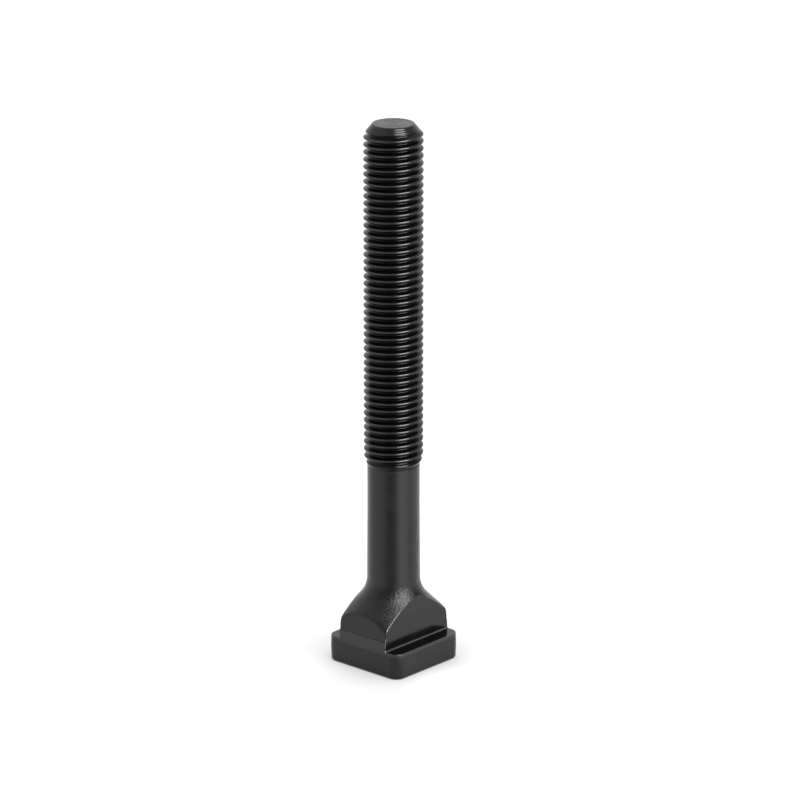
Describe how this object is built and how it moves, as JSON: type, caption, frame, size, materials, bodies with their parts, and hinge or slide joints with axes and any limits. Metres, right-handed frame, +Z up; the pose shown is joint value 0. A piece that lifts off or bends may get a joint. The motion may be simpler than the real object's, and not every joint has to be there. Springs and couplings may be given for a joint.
{
  "type": "t slot bolt",
  "caption": "T-slot bolt with a square head, a milled neck that keeps it from turning in the slot, a plain shank and a threaded end.",
  "frame": {"origin": "centre of the head's underside, on the bolt's axis", "axes": "+Z up the shank to the threaded end; X across the slot, so the two shoulders stick out along -X and +X; Y along the slot"},
  "size_m": [0.026, 0.026, 0.15],
  "materials": {
    "black_oxide_steel": "black oxide, satin on the forged faces and glossy on the milled ones"
  },
  "bodies": {
    "root": {"t_slot_bolt": "black_oxide_steel"}
  },
  "joints": []
}
